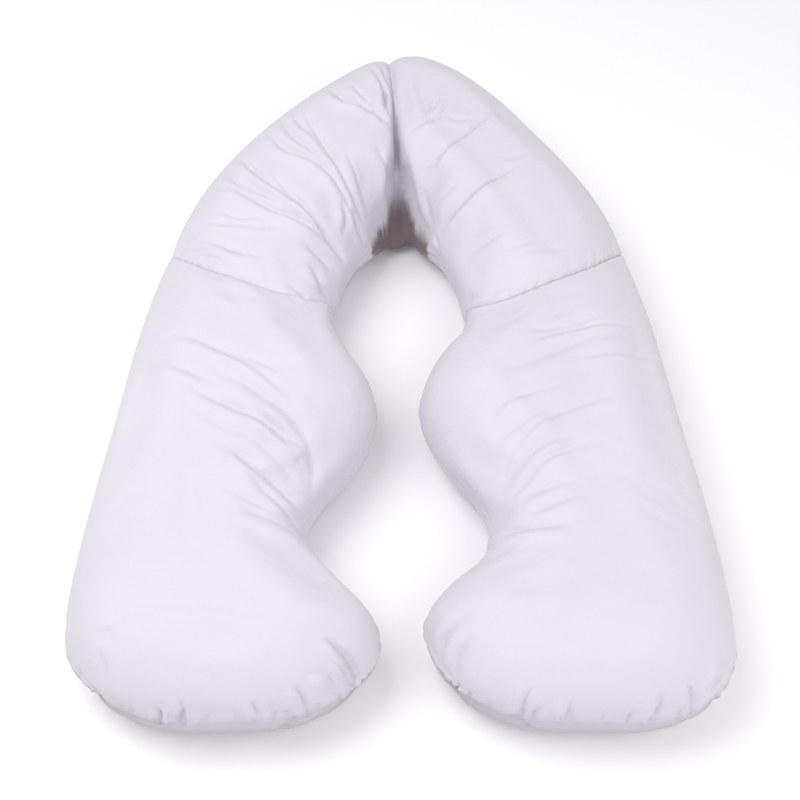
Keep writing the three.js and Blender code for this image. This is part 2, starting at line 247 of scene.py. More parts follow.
def seam_lines():
    """The side seams all round and the two cross seams, as lines of points in plan."""
    fine = between(ROWS, np.linspace(0, LAST_ROW, LAST_ROW * STEPS_PER_ROW + 1))
    across = np.linspace(-1, 1, CROSS_SEAM_SAMPLES)
    line = lambda row: plan_points(ROWS[[row]], across[None, :])[0]
    sides = [fine[:, OUTER_SEAM], fine[:, INNER_SEAM], line(0), line(LAST_ROW)]
    return sides, [line(LEFT_SEAM_ROW), line(RIGHT_SEAM_ROW)]


SIDE_SEAMS, CROSS_SEAMS = seam_lines()
MIDDLE = (np.vstack(SIDE_SEAMS).min(axis=0) + np.vstack(SIDE_SEAMS).max(axis=0)) / 2


def even_columns(side, columns):
    """Corners of every row, evenly spaced along the cloth of the top or of the underside."""
    places = np.linspace(0, LAST_ROW, LAST_ROW * STEPS_PER_ROW + 1)
    values = between(ROWS, places)
    across = np.sin(np.linspace(-1, 1, PROFILE_SAMPLES) * math.pi / 2)
    plan = plan_points(values, np.tile(across, (len(values), 1)))
    crown = np.repeat(values[:, CROWN], PROFILE_SAMPLES)
    z = section_heights(plan.reshape(-1, 2), crown)[side].reshape(plan.shape[:2])
    for end in (0, -1):
        z[end] = seam_heights(plan[end])
    profile = np.dstack((plan, z))
    steps = np.linalg.norm(np.diff(profile, axis=1), axis=2)
    length = np.hstack((np.zeros((len(values), 1)), np.cumsum(steps, axis=1)))
    corners = np.empty((len(values), columns + 1, 3))
    for k, row in enumerate(profile):
        wanted = np.linspace(0, length[k, -1], columns + 1)
        for axis in range(3):
            corners[k, :, axis] = np.interp(wanted, length[k], row[:, axis])
    return corners, length[:, -1]


# Sewing the cover

TOP, UNDERSIDE = 0, 1
ON_THE_SEAM = 0.5  # between the top and the underside
SHEETS = ((TOP, TOP_COLUMNS), (UNDERSIDE, UNDER_COLUMNS))
SEWN_WITHIN = 0.05  # points of the two sheets that are closer than this become one
CLOTH_MEASURES = (
    "row",
    "under",
    "from_foot",
    "from_outer",
    "from_inner",
    "from_cross_seam",
    # painted shade: how much darker the cloth is coloured there
    "painted_shade",
)


def lengths_along(corners, axis):
    """The length of cloth up to each corner of a grid, counted from its first row or column."""
    steps = np.linalg.norm(np.diff(corners, axis=axis), axis=2)
    return np.insert(np.cumsum(steps, axis=axis), 0, 0, axis=axis)


def shade(corners, side, from_inner, from_foot):
    """How much painted shade darkens the cloth, from 0 to 1: deep in the fold, and below the
    feet's seam.
    """
    folded = fold_depth(corners[..., :2].reshape(-1, 2)).reshape(from_foot.shape)
    painted_shade = np.clip((folded - FOLD_SHADE_START) / FOLD_SHADE_RANGE, 0, 1)
    if side == TOP:
        return painted_shade
    under_foot = FOOT_SHADE * bell(from_foot, FOOT_SHADE_REACH)
    under_foot[[0, -1]] = 0
    under_foot[:, [0, -1]] = 0
    return np.maximum(painted_shade * bell(from_inner, FOLD_SHADE_UNDER), under_foot)


def cloth_measures(corners, side):
    """Where each corner of a sheet lies on the cloth, by the names in CLOTH_MEASURES."""
    down, over = lengths_along(corners, 0), lengths_along(corners, 1)
    row = np.repeat(np.arange(len(corners)) / STEPS_PER_ROW, corners.shape[1]).reshape(down.shape)
    seams = down[[LEFT_SEAM_ROW * STEPS_PER_ROW, RIGHT_SEAM_ROW * STEPS_PER_ROW]]
    into_head = np.minimum(down - seams[0], seams[1] - down)
    from_foot = np.minimum(down, down[-1] - down)
    from_inner = over[:, -1:] - over
    under = np.full_like(down, side)
    # painted shade, deep in the fold and below the feet's seam
    painted_shade = shade(corners, side, from_inner, from_foot)
    return (row, under, from_foot, over, from_inner, into_head, painted_shade)


def lay_sheet(bm, side, columns):
    """One sheet of the cover, top or underside, laid out as a grid of cloth steps."""
    corners, lengths = even_columns(side, columns)
    rows = len(corners) - 1
    measures = cloth_measures(corners, side)
    layers = [bm.verts.layers.float[name] for name in CLOTH_MEASURES]
    uv_layer = bm.loops.layers.uv["cloth"]
    made = bmesh.ops.create_grid(bm, x_segments=rows, y_segments=columns, size=1)
    middle_down = lengths_along(corners, 0)[:, columns // 2]
    uvs = {}
    for vert in made["verts"]:
        row = round((vert.co.x + 1) / 2 * rows)
        column = round((vert.co.y + 1) / 2 * columns)
        x, y, z = corners[row, column]
        vert.co = ((x - MIDDLE[0]) * MM, (y - MIDDLE[1]) * MM, z * MM)
        for layer, measure in zip(layers, measures):
            vert[layer] = measure[row, column]
        uvs[vert] = ((column / columns - 0.5) * lengths[row] * MM, middle_down[row] * MM)
    faces = {face for vert in made["verts"] for face in vert.link_faces}
    for face in faces:
        for loop in face.loops:
            loop[uv_layer].uv = uvs[loop.vert]
    if side == TOP:
        bmesh.ops.reverse_faces(bm, faces=list(faces))


def sew_cover():
    """The whole cover as one closed mesh, its two sheets joined at the side seam."""
    bm = bmesh.new()
    for name in CLOTH_MEASURES:
        bm.verts.layers.float.new(name)
    bm.loops.layers.uv.new("cloth")
    for side, columns in SHEETS:
        lay_sheet(bm, side, columns)
    open_edges = [vert for vert in bm.verts if vert.is_boundary]
    under = bm.verts.layers.float["under"]
    for vert in open_edges:
        vert[under] = ON_THE_SEAM
    bmesh.ops.remove_doubles(bm, verts=open_edges, dist=SEWN_WITHIN * MM)
    mesh = bpy.data.meshes.new("cover")
    bm.to_mesh(mesh)
    bm.free()
    cover = bpy.data.objects.new("cover", mesh)
    bpy.context.collection.objects.link(cover)
    return cover


def positions(mesh):
    """A mesh's points in millimetres, as rows of x, y and z."""
    flat = np.empty(len(mesh.vertices) * 3)
    mesh.vertices.foreach_get("co", flat)
    return flat.reshape(-1, 3) / MM


def put_positions(mesh, points):
    """Gives a mesh new points, in millimetres."""
    mesh.vertices.foreach_set("co", (points * MM).ravel())
    mesh.update()


def measure(mesh, name):
    """One of the CLOTH_MEASURES for every point of a mesh."""
    values = np.empty(len(mesh.vertices))
    mesh.attributes[name].data.foreach_get("value", values)
    return values


# Stuffing it: the cloth settles on its filling and wrinkles where it has length to spare

SIMULATED_FRAMES = 14
SPARE_CLOTH = 0.12  # the most that the cloth is longer than its place, as a share
THIN_COTTON = {
    "quality": 5,
    "mass": 0.15,
    "tension_stiffness": 20,
    "compression_stiffness": 20,
    "shear_stiffness": 8,
    "bending_stiffness": 0.3,
    "air_damping": 2,
    "use_pressure": True,
    "uniform_pressure_force": -1.2,
    "shrink_min": 0,
    "shrink_max": -SPARE_CLOTH,
    "vertex_group_shrink": "spare cloth",
    "vertex_group_mass": "resting",
    "pin_stiffness": 5,
}
SPARE_EVERYWHERE = 0.25
SPARE_AT_CROSS_SEAM = 0.6
SPARE_AT_FOOT = 0.9
CROSS_SEAM_SPARE_REACH = 60.0
SIDE_SEAM_SPARE_REACH = 80.0
FOOT_LENGTH = 260.0
SETTLING_ROUNDS = 18  # how far the general settling is evened out before it is taken off again
LARGEST_MOVE = 22.0
RESTING_BELOW = 0.5  # the underside lower than this rests on the surface and stays still
ROUNDING_LEVELS = 2


def spare_cloth(mesh):
    """How much spare length each point of the cloth has, from 0 to 1."""
    from_side = np.minimum(measure(mesh, "from_outer"), measure(mesh, "from_inner"))
    from_foot = measure(mesh, "from_foot")
    from_cross = np.abs(measure(mesh, "from_cross_seam"))
    at_cross = SPARE_AT_CROSS_SEAM * bell(from_cross, CROSS_SEAM_SPARE_REACH)
    at_seam = bell(np.minimum(from_side, from_foot), SIDE_SEAM_SPARE_REACH)
    at_foot = SPARE_AT_FOOT * at_seam * np.clip(1 - from_foot / FOOT_LENGTH, 0, 1)
    return np.maximum.reduce((at_cross, at_foot, np.full(len(at_foot), SPARE_EVERYWHERE)))


def add_weights(cover, name, weights):
    """A vertex group with a weight for every point, to the nearest hundredth."""
    group = cover.vertex_groups.new(name=name)
    rounded = np.round(weights, 2)
    for weight in np.unique(rounded):
        group.add(np.flatnonzero(rounded == weight).tolist(), float(weight), "REPLACE")


def set_cloth(cover):
    """The cover's cloth simulation: thin cotton, drawn in a little, without gravity."""
    cloth = cover.modifiers.new("stuffing", "CLOTH")
    for name, value in THIN_COTTON.items():
        setattr(cloth.settings, name, value)
    cloth.settings.effector_weights.gravity = 0
    cloth.collision_settings.use_collision = False
    cloth.collision_settings.use_self_collision = False
    cloth.point_cache.frame_end = SIMULATED_FRAMES
    return cloth


def evened(edges, values, rounds):
    """Values on a mesh's points, each drawn towards the mean of its neighbours, over and over."""
    first, second = edges.T
    count = len(values)
    neighbours = np.bincount(edges.ravel(), minlength=count)[:, None]
    for _ in range(rounds):
        around = [
            np.bincount(first, values[second, axis], count)
            + np.bincount(second, values[first, axis], count)
            for axis in range(values.shape[1])
        ]
        values = (values + np.array(around).T / neighbours) / 2
    return values


def stuff(cover):
    """Wrinkles the cover by cloth simulation, without keeping its general settling."""
    start = positions(cover.data)
    resting = (measure(cover.data, "under") > ON_THE_SEAM) & (start[:, 2] < RESTING_BELOW)
    add_weights(cover, "spare cloth", spare_cloth(cover.data))
    add_weights(cover, "resting", resting.astype(float))
    cloth = set_cloth(cover)
    for number in range(1, SIMULATED_FRAMES + 1):
        bpy.context.scene.frame_set(number)
    posed = cover.evaluated_get(bpy.context.evaluated_depsgraph_get()).to_mesh()
    moved = positions(posed) - start
    cover.modifiers.remove(cloth)
    cover.vertex_groups.clear()
    bpy.context.scene.frame_set(1)
    edges = np.array([edge.vertices for edge in cover.data.edges])
    moved -= evened(edges, moved, SETTLING_ROUNDS)
    length = np.linalg.norm(moved, axis=1, keepdims=True)
    moved *= LARGEST_MOVE / (LARGEST_MOVE + length)
    moved[resting] = 0
    put_positions(cover.data, start + moved)


def refine(cover):
    """Rounds the cover off to a finer mesh, which can hold its creases."""
    rounding = cover.modifiers.new("rounding", "SUBSURF")
    rounding.levels = rounding.render_levels = ROUNDING_LEVELS
    rounding.uv_smooth = "NONE"
    posed = cover.evaluated_get(bpy.context.evaluated_depsgraph_get())
    cover.data = bpy.data.meshes.new_from_object(posed)
    cover.modifiers.clear()


# Creases that the folded and drawn-in cloth keeps, as paths over its top in plan

Crease = namedtuple("Crease", "depth half_width path")
CREASES = (
    # left half of the crown, where the cloth is drawn towards the bend
    Crease(9, 5, ((-295, 380), (-250, 315), (-175, 235))),
    Crease(10, 6, ((-330, 310), (-230, 235), (-150, 190), (-115, 170))),
    Crease(11, 6, ((-235, 325), (-175, 245), (-120, 185), (-95, 170))),
    Crease(10, 6, ((-245, 445), (-210, 385), (-155, 350), (-105, 285), (-80, 245))),
    Crease(7, 5, ((-195, 410), (-160, 375), (-120, 325))),
    Crease(9, 7, ((-185, 500), (-140, 395), (-95, 305), (-65, 260))),
    Crease(4, 7, ((-100, 370), (-70, 310), (-55, 285))),
    Crease(6, 6, ((-230, 495), (-200, 425), (-175, 395))),
    Crease(6, 6, ((-210, 520), (-185, 450), (-155, 405))),
    Crease(6, 5, ((-285, 310), (-245, 270), (-200, 240))),
    Crease(6, 6, ((-320, 360), (-285, 295), (-240, 255))),
    Crease(4, 5, ((-315, 235), (-280, 210), (-235, 210))),
    Crease(4, 5, ((-335, 210), (-290, 195), (-200, 180))),
    Crease(6, 6, ((-345, 175), (-300, 145), (-225, 110))),
    Crease(4, 5, ((-380, 175), (-345, 150), (-310, 135))),
    Crease(5, 5, ((-385, 160), (-335, 130), (-255, 80))),
    Crease(5, 5, ((-190, 70), (-170, 60), (-155, 55))),
    Crease(5, 6, ((-155, 120), (-140, 105), (-130, 85))),
    Crease(5, 6, ((-170, 155), (-140, 145), (-120, 135))),
    Crease(6, 5, ((-105, 265), (-95, 240), (-100, 205))),
    Crease(5, 5, ((-85, 265), (-75, 245), (-65, 235))),
    # the left lobe beside the fold
    Crease(5, 5, ((-35, 640), (-25, 585), (-15, 550))),
    Crease(9, 5, ((-55, 630), (-30, 550), (-25, 510), (-15, 470))),
    Crease(11, 7, ((-140, 565), (-105, 515), (-70, 500), (-15, 445))),
    Crease(5, 5, ((-90, 555), (-70, 525), (-45, 495))),
    Crease(4, 6, ((-45, 385), (-30, 370), (-20, 350))),
    # right half of the crown
    Crease(5, 3, ((35, 350), (70, 360), (145, 445), (185, 495))),
    Crease(7, 3, ((70, 240), (105, 250), (170, 300), (210, 340))),
    Crease(5, 5, ((10, 420), (45, 440), (75, 465), (95, 500))),
    Crease(6, 5, ((50, 465), (60, 490), (65, 515))),
    Crease(4, 5, ((75, 465), (110, 455), (150, 465))),
    Crease(3, 6, ((180, 355), (205, 360), (235, 380))),
    Crease(3, 4, ((60, 250), (65, 235), (70, 220))),
    Crease(4, 6, ((45, 330), (50, 305), (60, 265))),
    Crease(3, 6, ((55, 285), (80, 290), (110, 305))),
    Crease(3, 6, ((105, 155), (155, 165), (180, 175))),
    Crease(3, 6, ((170, 135), (220, 145), (260, 160))),
    Crease(3, 6, ((185, 120), (240, 130), (285, 145))),
    # left arm
    Crease(5, 7, ((-385, -50), (-300, -85), (-230, -120), (-185, -145))),
    Crease(7, 8, ((-305, -130), (-240, -170), (-165, -235), (-135, -285), (-135, -350))),
    Crease(5, 7, ((-400, -90), (-355, -130), (-280, -170))),
    Crease(6, 7, ((-320, -180), (-250, -220), (-165, -270), (-145, -280))),
    Crease(5, 6, ((-235, -205), (-210, -235), (-145, -280))),
    Crease(4, 6, ((-280, -265), (-255, -295), (-200, -320))),
    Crease(4, 6, ((-255, -295), (-230, -320), (-205, -340))),
    Crease(6, 7, ((-255, -295), (-185, -345), (-140, -375))),
    Crease(5, 7, ((-240, -390), (-205, -405), (-140, -415))),
    Crease(4, 5, ((-330, -75), (-260, -115), (-190, -175), (-150, -235))),
    Crease(4, 5, ((-370, -150), (-300, -190), (-220, -235), (-165, -285), (-140, -330))),
    Crease(3, 5, ((-345, -200), (-280, -245), (-205, -290), (-150, -340))),
    Crease(4, 5, ((-240, -330), (-190, -370), (-145, -400))),
    Crease(3, 5, ((-270, -360), (-215, -385), (-150, -405))),
    # right arm
    Crease(3, 7, ((190, -55), (265, -45), (345, -15))),
    Crease(4, 8, ((140, -150), (210, -120), (290, -75), (355, -40))),
    Crease(3, 6, ((315, -75), (355, -60), (400, -20))),
    Crease(4, 5, ((185, -85), (305, -45), (385, -25))),
    Crease(3, 5, ((250, -120), (350, -100), (420, -80))),
    Crease(4, 5, ((135, -235), (170, -200), (250, -170))),
    Crease(4, 5, ((150, -330), (195, -260), (290, -205), (340, -190))),
    Crease(4, 5, ((165, -365), (225, -310), (305, -275))),
    Crease(4, 7, ((140, -275), (180, -245), (255, -210))),
    Crease(6, 7, ((150, -340), (200, -295), (260, -265))),
    Crease(4, 6, ((190, -315), (225, -305), (260, -295))),
    Crease(5, 7, ((175, -370), (215, -360), (265, -350))),
    Crease(5, 6, ((190, -400), (225, -390), (270, -370))),
    Crease(8, 7, ((145, -415), (175, -425), (255, -430))),
    # feet
    Crease(11, 4, ((-105, -610), (-75, -625), (-50, -640))),
    Crease(3, 6, ((-130, -655), (-105, -655), (-90, -665))),
    Crease(7, 4, ((-145, -670), (-130, -685), (-120, -705))),
    Crease(7, 4, ((-205, -690), (-195, -700), (-190, -715))),
    Crease(11, 4, ((-335, -690), (-330, -705), (-330, -720))),
    Crease(9, 4, ((-300, -690), (-295, -705), (-290, -720))),
    Crease(3, 8, ((-420, -620), (-410, -640), (-415, -655))),
    Crease(4, 5, ((-90, -635), (-75, -645), (-65, -650))),
    Crease(4, 5, ((-110, -645), (-95, -655), (-85, -665))),
    Crease(6, 6, ((100, -575), (65, -590), (55, -600))),
    Crease(6, 6, ((100, -600), (80, -620), (75, -635))),
    Crease(6, 4, ((180, -675), (165, -690), (150, -710))),
    Crease(8, 4, ((235, -690), (225, -705), (220, -720))),
    Crease(8, 4, ((360, -680), (350, -700), (345, -715))),
    Crease(6, 4, ((395, -665), (405, -685), (410, -705))),
    Crease(6, 6, ((450, -640), (430, -665))),
)
CREASE_SHARPNESS = 1.3
SHOULDER_PLACE = 2.6  # in half widths from the middle of a crease, as is its width
SHOULDER_WIDTH = 1.7
SHOULDER_HEIGHT = 0.42
SHOULDER_LEAN = 0.3  # how much one shoulder is higher and the other lower
CREASE_TAPER = 0.9
CREASE_REACH = 8  # half widths past which a crease does nothing
PATH_STEPS = 6  # from one point of a crease to the next
HEIGHT_NEIGHBOURS = 4
FACING_UP = 0.1  # least upward part of a normal on the cloth that creases are laid on
UNCREASED_BELOW = 1.0  # the underside lower than this stays flat on the surface


def groove(offset, side=0):
    """The section of a crease: a narrow valley of depth 1 between two soft shoulders."""
    valley = np.exp(-(offset**CREASE_SHARPNESS))
    shoulder = bell(offset - SHOULDER_PLACE, SHOULDER_WIDTH)
    return valley - shoulder * (SHOULDER_HEIGHT + SHOULDER_LEAN * side)


def laid_on(path, top):
    """A path drawn in plan, as a smooth line laid on the points of the cover's top."""
    last = len(path) - 1
    smooth = between(np.array(path, dtype=float), np.linspace(0, last, last * PATH_STEPS + 1))
    line = []
    for spot in smooth - MIDDLE:
        away = np.linalg.norm(top[:, :2] - spot, axis=1)
        closest = np.argpartition(away, HEIGHT_NEIGHBOURS)[:HEIGHT_NEIGHBOURS]
        line.append((*spot, top[closest, 2].mean()))
    return np.array(line)


def crease_drop(crease, points, normals, top):
    """Which points a crease reaches, and how far each one drops."""
    line = laid_on(crease.path, top)
    margin = crease.half_width * CREASE_REACH
    inside = (points > line.min(axis=0) - margin) & (points < line.max(axis=0) + margin)
    near = np.flatnonzero(inside.all(axis=1))
    distance, place = nearest(line, points[near])
    index = np.minimum(place.astype(int), len(line) - 2)
    direction = (line[1:] - line[:-1])[index]
    foot = line[index] + direction * (place - index)[:, None]
    side = np.sign(np.sum(np.cross(direction, normals[near]) * (points[near] - foot), axis=1))
    taper = np.maximum(0, np.sin(np.pi * place / (len(line) - 1))) ** CREASE_TAPER
    return near, crease.depth * taper * groove(distance / crease.half_width, side)


# Gathers: short creases that leave a seam, where the cloth is eased into it

Gathers = namedtuple("Gathers", "spacing depth half_width reach seed")
FOOT_TOP_GATHERS = Gathers(24, 8, 4.5, 34, 3)
FOOT_UNDER_GATHERS = Gathers(36, 9, 7, 100, 5)
SIDE_TOP_GATHERS = Gathers(30, 4, 5, 44, 8)
SIDE_UNDER_GATHERS = Gathers(26, 5, 5, 50, 13)
CROSS_HEAD_GATHERS = Gathers(24, 4.5, 4, 36, 21)
CROSS_ARM_GATHERS = Gathers(26, 2.6, 4, 26, 34)
DEPTH_RANGE = (0.3, 1.0)  # each gather's sizes vary between these shares of the stated ones
HALF_WIDTH_RANGE = (0.7, 1.4)
REACH_RANGE = (0.4, 1.3)
SPACING_RANGE = (0.5, 1.6)
MOST_LEAN = 0.35
GATHER_REACH = 6  # half widths past which a gather does nothing
INNER_SEED = 100  # added for the inner seam, so that it is gathered unlike the outer one
SEAM_STEPS = 8  # between two rows, where a side seam's length is measured
DEEPEST_GATHER = 6.5  # where the gathers of two seams meet they aren't deeper than this
GATHER_SIDE = -0.9  # gathers have hardly any shoulders
GATHER_FADE = 1.5
HELD_REACH = 6.0  # this close to the stitches the cloth is held and gathers less
HELD_SHARE = 0.5  # how much less, at the stitches themselves
UPPER_SIDE_SHARE = 0.35  # depth of the side seam and its gathers away from the feet
CROSS_SEAM_DEPTH = 3.0
CROSS_SEAM_HALF_WIDTH = 3.2
LEFT_SEAM_SHARE = 0.45  # the left seam is pulled in less than the right one
SEAM_RIDGE = 3.0
SEAM_RIDGE_HALF_WIDTH = 3.4
TUCK_PLACE = 9.0
TUCK_HALF_WIDTH = 5.5
TOP_TUCK = 1.5
UNDER_TUCK = 8.0


def gathers_drop(kind, along, distance):
    """How far points drop in a seam's gathers, from their place along it and distance off it."""
    draw = random.Random(kind.seed)
    drop = np.zeros(len(along))
    end = along.max()
    place = along.min() + kind.spacing * draw.random()
    close = distance < kind.reach * max(REACH_RANGE)
    while place < end:
        depth = kind.depth * draw.uniform(*DEPTH_RANGE)
        half = kind.half_width * draw.uniform(*HALF_WIDTH_RANGE)
        reach = kind.reach * draw.uniform(*REACH_RANGE)
        lean = draw.uniform(-MOST_LEAN, MOST_LEAN)
        width = half * GATHER_REACH + reach * MOST_LEAN
        near = np.flatnonzero(close & (np.abs(along - place) < width))
        offset = np.abs(along[near] - place - lean * distance[near]) / half
        fade = np.maximum(0, 1 - distance[near] / reach) ** GATHER_FADE
        held = 1 - HELD_SHARE * bell(distance[near], HELD_REACH)
        drop[near] += depth * groove(offset, GATHER_SIDE) * fade * held
        place += kind.spacing * draw.uniform(*SPACING_RANGE)
    return drop


def side_seam_drop(distance, under):
    """How far points drop beside the side seam, whose turned-in edges stand up as a ridge."""
    ridge = SEAM_RIDGE * bell(distance, SEAM_RIDGE_HALF_WIDTH)
    depth = np.where(under > ON_THE_SEAM, UNDER_TUCK, TOP_TUCK)
    return depth * bell(distance - TUCK_PLACE, TUCK_HALF_WIDTH) - ridge


def cross_seam_drop(distance):
    """How far points drop beside a line of stitches across the pillow."""
    return CROSS_SEAM_DEPTH * groove(distance / CROSS_SEAM_HALF_WIDTH)


def gathers_at_sides(row, under, outer, inner, foot, near_foot):
    """How far points drop in the gathers along the side seams and round the feet."""
    fine = between(ROWS, np.linspace(0, LAST_ROW, LAST_ROW * SEAM_STEPS + 1))
    drop = np.zeros(len(row))
    for sheet, side_kind, foot_kind in (
        (under < ON_THE_SEAM, SIDE_TOP_GATHERS, FOOT_TOP_GATHERS),
        (under >= ON_THE_SEAM, SIDE_UNDER_GATHERS, FOOT_UNDER_GATHERS),
    ):
        for distance, seam, seed in ((outer, OUTER_SEAM, 0), (inner, INNER_SEAM, INNER_SEED)):
            lengths = lengths_along(fine[:, None, seam], 0)[:, 0]
            along = np.interp(row, np.linspace(0, LAST_ROW, len(lengths)), lengths)
            kind = side_kind._replace(seed=side_kind.seed + seed)
            drop[sheet] += gathers_drop(kind, along[sheet], distance[sheet]) * near_foot[sheet]
        for half in (row < LAST_ROW / 2, row >= LAST_ROW / 2):
            chosen = np.flatnonzero(sheet & half)
            drop[chosen] += gathers_drop(foot_kind, outer[chosen], foot[chosen])
    return drop


def seam_drop(mesh):
    """How far every point of the cover drops in its seams and their gathers."""
    row, under = measure(mesh, "row"), measure(mesh, "under")
    outer, inner = measure(mesh, "from_outer"), measure(mesh, "from_inner")
    foot, cross = measure(mesh, "from_foot"), measure(mesh, "from_cross_seam")
    near_foot = UPPER_SIDE_SHARE + (1 - UPPER_SIDE_SHARE) * np.clip(1 - foot / FOOT_LENGTH, 0, 1)
    drop = gathers_at_sides(row, under, outer, inner, foot, near_foot)
    for half in (row < LAST_ROW / 2, row >= LAST_ROW / 2):
        for kind, part in ((CROSS_HEAD_GATHERS, cross >= 0), (CROSS_ARM_GATHERS, cross < 0)):
            chosen = np.flatnonzero(half & part)
            drop[chosen] += gathers_drop(kind, outer[chosen], np.abs(cross[chosen]))
    side = np.minimum.reduce((outer, inner, foot))
    drop = np.minimum(drop, DEEPEST_GATHER) + side_seam_drop(side, under) * near_foot
    # the top's painted shade in the fold also calms the seam and its gathers there
    in_fold = np.where(under < ON_THE_SEAM, measure(mesh, "painted_shade"), 0)
    near_fold = bell(row - FOLD_ROW, FOLD_ROWS) * (inner < outer)
    drop *= 1 - np.maximum(in_fold, near_fold)
    seam_share = np.where(row < LAST_ROW / 2, LEFT_SEAM_SHARE, 1)
    return drop + cross_seam_drop(np.abs(cross)) * seam_share


def crease(cover, share):
    """Presses the creases, the seams and their gathers into the cover."""
    mesh = cover.data
    points = positions(mesh)
    flat = np.empty(len(points) * 3)
    mesh.vertex_normals.foreach_get("vector", flat)
    normals = flat.reshape(-1, 3)
    top = points[(measure(mesh, "under") < ON_THE_SEAM) & (normals[:, 2] > FACING_UP)]
    drop = seam_drop(mesh)
    for each in CREASES:
        near, depth = crease_drop(each, points, normals, top)
        drop[near] += depth
    resting = (measure(mesh, "under") > ON_THE_SEAM) & (points[:, 2] < UNCREASED_BELOW)
    drop[resting] = 0
    points -= normals * (drop * share)[:, None]
    points[:, 2] = np.maximum(points[:, 2], 0)
    put_positions(mesh, points)


# Cutting it into the three pieces that are sewn together

Piece = namedtuple("Piece", "name node first_row last_row")
PIECES = (
    Piece("left_arm_cushion", "left_arm", -1, LEFT_SEAM_ROW),
    Piece("head_cushion", "head_section", LEFT_SEAM_ROW, RIGHT_SEAM_ROW),
    Piece("right_arm_cushion", "right_arm", RIGHT_SEAM_ROW, LAST_ROW + 1),
)


def cut_piece(cover, piece):
    """One piece of the cover, closed across its seams and a hair's breadth from its neighbours."""
    bm = bmesh.new()
    bm.from_mesh(cover.data)
    row = bm.verts.layers.float["row"]
    middle = lambda face: sum(vert[row] for vert in face.verts) / len(face.verts)
    outside = [face for face in bm.faces if not piece.first_row < middle(face) < piece.last_row]
    bmesh.ops.delete(bm, geom=outside, context="FACES")
    rim = [edge for edge in bm.edges if edge.is_boundary]
    edge_verts = {vert for edge in rim for vert in edge.verts}
    for vert in edge_verts:
        inner = next(e.other_vert(vert) for e in vert.link_edges if not e.is_boundary)
        vert.co += (inner.co - vert.co).normalized() * CROSS_SEAM_GAP / 2 * MM
    walls = bmesh.ops.holes_fill(bm, edges=rim, sides=0)
    bmesh.ops.triangulate(bm, faces=walls["faces"])
    mesh = bpy.data.meshes.new(piece.name)
    bm.to_mesh(mesh)
    bm.free()
    mesh.shade_smooth()
    made = bpy.data.objects.new(piece.name, mesh)
    bpy.context.collection.objects.link(made)
    return made


# Materials, sizes in metres

LARGEST_BYTE = 255
SRGB_CUT = 0.04045
SRGB_SLOPE = 12.92
SRGB_OFFSET = 0.055
SRGB_POWER = 2.4
WAVE_PERIOD = 0.3142  # a wave texture of scale 1 repeats in this length
COTTON_SPECULAR = 0.3
COTTON_NAP = 0.15
COTTON_NAP_ROUGHNESS = 0.5
THREAD_UNEVENNESS = 1.5
THREAD_RELIEF = 0.00006
CLOUD_SIZE = 0.14
CLOUD_DETAIL = 2.0
CRUMPLE_SIZE = 0.035
CRUMPLE_DETAIL = 3.0
CRUMPLE_DEPTH = 0.0022
PAINT_ROUGHNESS = 0.95
PAINT_SPECULAR = 0.1
ROLLER_GRAIN = 0.004
ROLLER_RELIEF = 0.0001


def linear(code):
    """The linear colour of an sRGB hex code."""
    parts = [int(code[k : k + 2], 16) / LARGEST_BYTE for k in (1, 3, 5)]
    bright = lambda part: ((part + SRGB_OFFSET) / (1 + SRGB_OFFSET)) ** SRGB_POWER
    return [part / SRGB_SLOPE if part <= SRGB_CUT else bright(part) for part in parts]


def add_node(material, kind, links=(), **settings):
    """Adds a node. settings are sockets or properties, and links are (socket, source output)."""
    node = material.node_tree.nodes.new(kind)
    for name, value in settings.items():
        socket = node.inputs.get(name.replace("_", " "))
        if socket is None:
            setattr(node, name.lower(), value)
        else:
            socket.default_value = value
    for name, source in links:
        material.node_tree.links.new(source, node.inputs[name])
    return node


def cotton_tint(material, settings, where):
    """The cotton's colour: soft clouds of two whites, and painted shade where little light gets
    in.
    """
    cloud = add_node(
        material,
        "ShaderNodeTexNoise",
        [("Vector", where)],
        Scale=1 / CLOUD_SIZE,
        Detail=CLOUD_DETAIL,
    )
    tint = add_node(
        material,
        "ShaderNodeMixRGB",
        [("Fac", cloud.outputs["Fac"])],
        Color1=(*settings.cotton_colour, 1),
        Color2=(*settings.cotton_shade, 1),
    )
    # painted shade: the shaded colour is mixed in by the cloth's shade measure, deep in the fold
    # and under the feet's seam
    folded = add_node(material, "ShaderNodeAttribute", attribute_name="painted_shade")
    painted_shade = add_node(
        material,
        "ShaderNodeMixRGB",
        [("Fac", folded.outputs["Fac"]), ("Color1", tint.outputs["Color"])],
        Color2=(*settings.painted_shade_colour, 1),
    )
    return painted_shade.outputs["Color"]


def cotton_relief(material, settings, where, cloth):
    """The cotton's fine relief: shallow crumples, and threads that cross each other."""
    threads = [
        add_node(
            material,
            "ShaderNodeTexWave",
            [("Vector", cloth)],
            bands_direction=direction,
            Scale=WAVE_PERIOD / settings.thread_spacing,
            Distortion=THREAD_UNEVENNESS,
        )
        for direction in ("X", "Y")
    ]
    weave = add_node(
        material,
        "ShaderNodeMath",
        [(0, threads[0].outputs["Fac"]), (1, threads[1].outputs["Fac"])],
        operation="MAXIMUM",
    )
    crumples = add_node(
        material,
        "ShaderNodeTexNoise",
        [("Vector", where)],
        Scale=1 / CRUMPLE_SIZE,
        Detail=CRUMPLE_DETAIL,
    )
    crumpled = add_node(
        material,
        "ShaderNodeBump",
        [("Height", crumples.outputs["Fac"])],
        Strength=1.0,
        Distance=CRUMPLE_DEPTH,
    )
    woven = add_node(
        material,
        "ShaderNodeBump",
        [("Height", weave.outputs[0]), ("Normal", crumpled.outputs[0])],
        Strength=1.0,
        Distance=THREAD_RELIEF,
    )
    return woven.outputs["Normal"]


